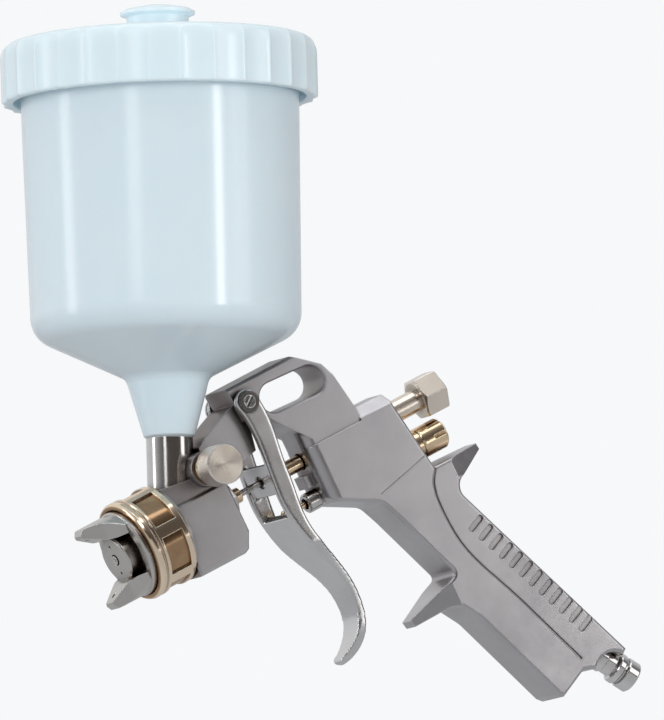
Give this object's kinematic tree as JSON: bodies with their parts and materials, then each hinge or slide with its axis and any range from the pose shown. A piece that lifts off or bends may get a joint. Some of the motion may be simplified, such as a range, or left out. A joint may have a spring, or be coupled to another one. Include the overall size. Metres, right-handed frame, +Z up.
{
  "type": "hvlp spray gun",
  "caption": "Gravity-feed paint spray gun with a translucent cup, horned air cap, curved trigger, hanging eye and adjusting knobs.",
  "frame": {"origin": "centre of the hanging eye in the top of the cast body", "axes": "+Z up along the paint cup axis, the gun lies in the XZ plane and sprays towards -X, nose down by 26.5 degrees, +Y the far side from the fan knob"},
  "size_m": [0.2374, 0.111, 0.2407],
  "materials": {
    "cast": "satin cast, plated",
    "steel": "polished",
    "satin_nickel": "satin",
    "trigger_metal": "polished satin",
    "gold_brass": "polished",
    "champagne": "turned",
    "chrome": "bright",
    "dark_steel": "oiled",
    "spring_steel": "drawn wire",
    "cup_plastic": "translucent polyethylene",
    "lid_plastic": "translucent polyethylene",
    "seal_white": "PTFE",
    "seal_black": "soft"
  },
  "bodies": {
    "gun": {"gun_body": "cast", "fluid_inlet": "steel", "fluid_nozzle": "steel", "nozzle_seal": "seal_white", "air_baffle": "gold_brass", "needle_packing": "seal_white", "packing_nut": "steel", "packing_sleeve": "gold_brass", "trigger_pin": "chrome", "trigger_pin_clip": "dark_steel", "valve_gland": "steel", "valve_packing": "seal_white", "valve_seat": "gold_brass", "valve_spring": "spring_steel", "needle_spring": "spring_steel", "fan_bushing": "gold_brass", "air_inlet": "chrome", "inlet_seal": "seal_black"},
    "trigger": {"trigger": "trigger_metal"},
    "needle": {"fluid_needle": "steel", "needle_collar": "gold_brass"},
    "air_valve": {"valve_stem": "gold_brass", "valve_disc": "seal_white"},
    "fluid_seat": {"fluid_spring_seat": "steel"},
    "fluid_knob": {"fluid_knob": "champagne"},
    "air_seat": {"air_spring_seat": "steel"},
    "air_knob": {"air_knob": "gold_brass"},
    "fan_carrier": {"fan_stem_seal": "seal_black"},
    "fan_knob": {"fan_stem": "steel", "fan_knob": "champagne"},
    "cap_carrier": {"cap_retainer": "seal_white"},
    "cap_ring": {"cap_ring": "gold_brass"},
    "air_cap": {"air_cap": "satin_nickel"},
    "cup": {"cup": "cup_plastic", "cup_seal": "seal_white", "cup_strainer": "seal_white"},
    "lid_carrier": {"lid_seal": "seal_white"},
    "lid": {"lid": "lid_plastic"},
    "vent_plug": {"vent_plug": "lid_plastic"}
  },
  "joints": [
    {"name": "trigger_pull", "type": "hinge", "parent": "gun", "child": "trigger", "pos_m": [-0.01901, 0, -0.00557], "axis": [0, -1, 0], "range_deg": [0, 11], "stiffness_Nm_per_rad": 1.5, "springref_deg": -17.19},
    {"name": "needle_slide", "type": "slide", "parent": "gun", "child": "needle", "axis": [0.8949, 0, 0.4462], "range_m": [0, 0.0037], "deforming": ["needle_spring"]},
    {"name": "valve_slide", "type": "slide", "parent": "gun", "child": "air_valve", "axis": [0.8949, 0, 0.4462], "range_m": [0, 0.008], "deforming": ["valve_spring"]},
    {"name": "fluid_knob_travel", "type": "slide", "parent": "gun", "child": "fluid_seat", "axis": [0.8949, 0, 0.4462], "range_m": [-0.002, 0.002]},
    {"name": "fluid_knob_turn", "type": "hinge", "parent": "fluid_seat", "child": "fluid_knob", "pos_m": [0.038, 0, -0.00899], "axis": [0.8949, 0, 0.4462], "range_deg": [-721, 721]},
    {"name": "air_knob_travel", "type": "slide", "parent": "gun", "child": "air_seat", "axis": [0.8949, 0, 0.4462], "range_m": [-0.001, 0.002]},
    {"name": "air_knob_turn", "type": "hinge", "parent": "air_seat", "child": "air_knob", "pos_m": [0.04425, 0, -0.02152], "axis": [0.8949, 0, 0.4462], "range_deg": [-361, 721]},
    {"name": "fan_knob_travel", "type": "slide", "parent": "gun", "child": "fan_carrier", "axis": [0, -1, 0], "range_m": [0, 0.002]},
    {"name": "fan_knob_turn", "type": "hinge", "parent": "fan_carrier", "child": "fan_knob", "pos_m": [-0.03639, -0.02, -0.02965], "axis": [0, -1, 0], "range_deg": [0, 721]},
    {"name": "ring_travel", "type": "slide", "parent": "gun", "child": "cap_carrier", "axis": [-0.8949, 0, -0.4462], "range_m": [0, 0.008]},
    {"name": "ring_turn", "type": "hinge", "parent": "cap_carrier", "child": "cap_ring", "pos_m": [-0.05328, 0, -0.0545], "axis": [-0.8949, 0, -0.4462], "range_deg": [0, 1441]},
    {"name": "air_cap_turn", "type": "hinge", "parent": "cap_carrier", "child": "air_cap", "pos_m": [-0.06044, 0, -0.05807], "axis": [-0.8949, 0, -0.4462], "range_deg": [-90, 90]},
    {"name": "cup_lift", "type": "slide", "parent": "gun", "child": "cup", "axis": [0, 0, 1], "range_m": [0, 0.03]},
    {"name": "lid_lift", "type": "slide", "parent": "cup", "child": "lid_carrier", "axis": [0, 0, 1], "range_m": [0, 0.06]},
    {"name": "lid_turn", "type": "hinge", "parent": "lid_carrier", "child": "lid", "pos_m": [-0.0443, 0, 0.11], "axis": [0, 0, 1], "range_deg": [0, 450]},
    {"name": "vent_lift", "type": "slide", "parent": "lid", "child": "vent_plug", "axis": [0, 0, 1], "range_m": [0, 0.02]}
  ],
  "couplings": [
    {"joint": "needle_slide", "follows": "trigger_pull", "m_per_rad": 0.018751},
    {"joint": "valve_slide", "follows": "trigger_pull", "m_per_rad": 0.040628},
    {"joint": "fluid_knob_turn", "follows": "fluid_knob_travel", "rad_per_m": 6283.2},
    {"joint": "air_knob_turn", "follows": "air_knob_travel", "rad_per_m": 6283.2},
    {"joint": "fan_knob_turn", "follows": "fan_knob_travel", "rad_per_m": 6283.2},
    {"joint": "ring_turn", "follows": "ring_travel", "rad_per_m": 3141.6}
  ]
}
